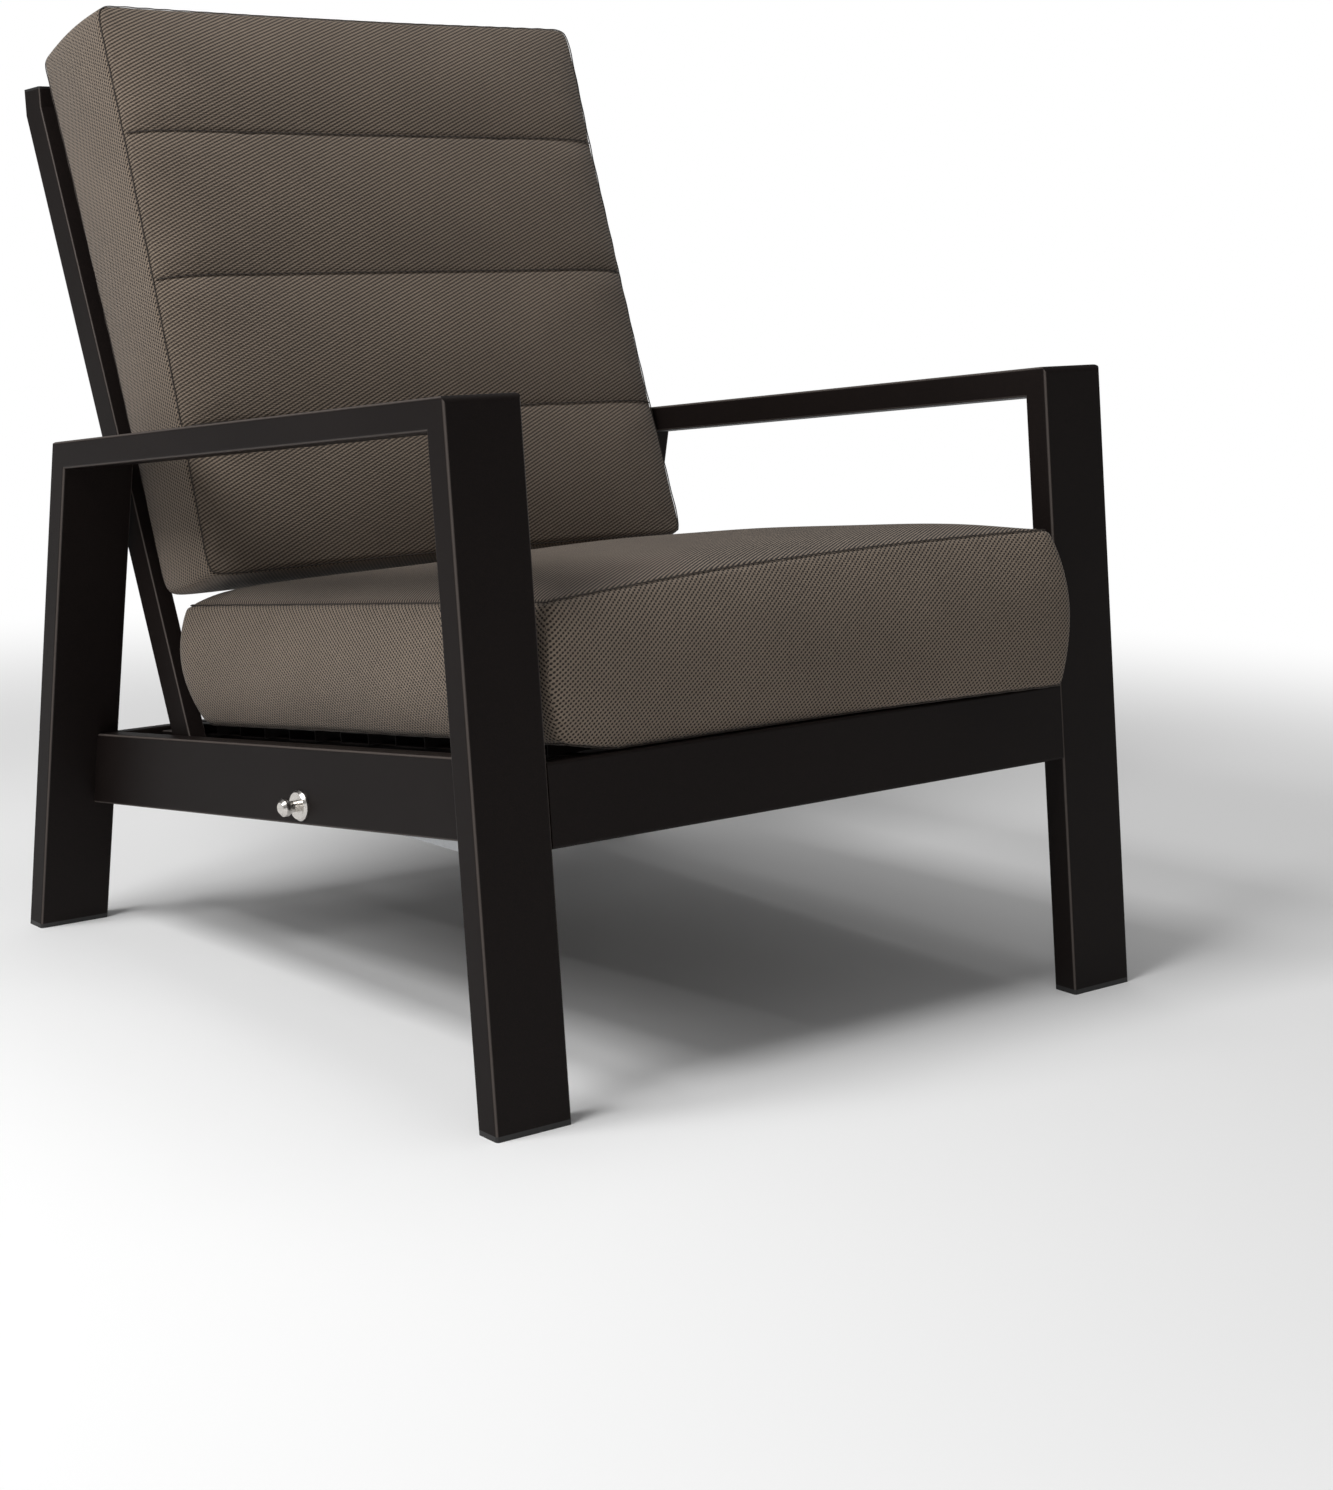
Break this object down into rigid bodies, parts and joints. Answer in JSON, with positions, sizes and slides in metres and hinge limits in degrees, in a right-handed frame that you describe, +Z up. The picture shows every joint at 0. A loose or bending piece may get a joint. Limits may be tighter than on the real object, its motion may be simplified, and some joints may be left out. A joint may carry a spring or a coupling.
{
  "type": "outdoor lounge chair",
  "caption": "Low outdoor lounge chair with a flat-tube frame, sloping arms, a slatted reclining back with a push-button lock, and thick boxed cushions.",
  "frame": {"origin": "on the floor, under the middle of the chair's whole width and depth with the back upright", "axes": "+X to the chair's right-hand side as seen from the front, +Y from the front to the back, +Z up"},
  "size_m": [0.795, 0.985, 0.9689],
  "materials": {
    "frame_coat": "fine matt powder coat, warm near-black",
    "slat_coat": "fine matt powder coat, warm near-black",
    "black_plastic": "moulded, fine matt",
    "nylon": "moulded, smooth",
    "zinc_steel": "zinc plated",
    "stainless_steel": "turned, fine brushed",
    "cushion_fabric": "two-tone woven outdoor cloth, taupe and black"
  },
  "bodies": {
    "root": {"front_leg_left": "frame_coat", "front_leg_right": "frame_coat", "rear_leg_left": "frame_coat", "rear_leg_right": "frame_coat", "armrest_left": "frame_coat", "armrest_right": "frame_coat", "side_rail_left": "frame_coat", "side_rail_right": "frame_coat", "front_rail": "frame_coat", "rear_rail": "frame_coat", "foot_cap_front_left": "black_plastic", "foot_cap_front_right": "black_plastic", "foot_cap_rear_left": "black_plastic", "foot_cap_rear_right": "black_plastic", "seat_bearer_left": "slat_coat", "seat_bearer_right": "slat_coat", "seat_slat_1": "slat_coat", "seat_slat_2": "slat_coat", "seat_slat_3": "slat_coat", "seat_slat_4": "slat_coat", "seat_slat_5": "slat_coat", "seat_slat_6": "slat_coat", "seat_slat_7": "slat_coat", "seat_slat_rivets": "zinc_steel", "pivot_bolt_left": "zinc_steel", "pivot_bolt_right": "zinc_steel", "pivot_washer_left": "nylon", "pivot_washer_right": "nylon", "rail_insert_left": "zinc_steel", "rail_insert_right": "zinc_steel", "button_flange_left": "stainless_steel", "button_flange_right": "stainless_steel", "button_spring_left": "zinc_steel", "button_spring_right": "zinc_steel", "seat_cushion": "cushion_fabric"},
    "back": {"back_upright_left": "frame_coat", "back_upright_right": "frame_coat", "upright_cap_left": "black_plastic", "upright_cap_right": "black_plastic", "back_slat_1": "slat_coat", "back_slat_2": "slat_coat", "back_slat_3": "slat_coat", "back_slat_4": "slat_coat", "back_slat_5": "slat_coat", "back_tie_bar": "slat_coat", "pivot_block_left": "nylon", "pivot_block_right": "nylon", "link_pin_left": "zinc_steel", "link_pin_right": "zinc_steel", "back_cushion": "cushion_fabric"},
    "lock_bar_left": {"lock_bar_left": "zinc_steel"},
    "lock_bar_right": {"lock_bar_right": "zinc_steel"},
    "button_left": {"release_button_left": "stainless_steel", "clamp_nut_left": "zinc_steel"},
    "button_right": {"release_button_right": "stainless_steel", "clamp_nut_right": "zinc_steel"}
  },
  "joints": [
    {"name": "back_recline", "type": "hinge", "parent": "root", "child": "back", "pos_m": [0, 0.15945, 0.17137], "axis": [-1, 0, 0], "range_deg": [0, 20]},
    {"name": "lock_bar_left_swing", "type": "hinge", "parent": "back", "child": "lock_bar_left", "pos_m": [-0.3155, 0.17432, 0.20415], "axis": [-1, 0, 0], "range_deg": [-20, 0]},
    {"name": "lock_bar_right_swing", "type": "hinge", "parent": "back", "child": "lock_bar_right", "pos_m": [0.3155, 0.17432, 0.20415], "axis": [-1, 0, 0], "range_deg": [-20, 0]},
    {"name": "release_button_left_push", "type": "slide", "parent": "root", "child": "button_left", "axis": [1, 0, 0], "range_m": [0, 0.005], "stiffness_N_per_m": 1500, "springref_m": -0.004, "deforming": ["button_spring_left"]},
    {"name": "release_button_right_push", "type": "slide", "parent": "root", "child": "button_right", "axis": [-1, 0, 0], "range_m": [0, 0.005], "stiffness_N_per_m": 1500, "springref_m": -0.004, "deforming": ["button_spring_right"]}
  ],
  "couplings": [
    {"joint": "lock_bar_left_swing", "follows": "back_recline", "ratio": -0.93055},
    {"joint": "lock_bar_right_swing", "follows": "back_recline", "ratio": -0.93055}
  ]
}
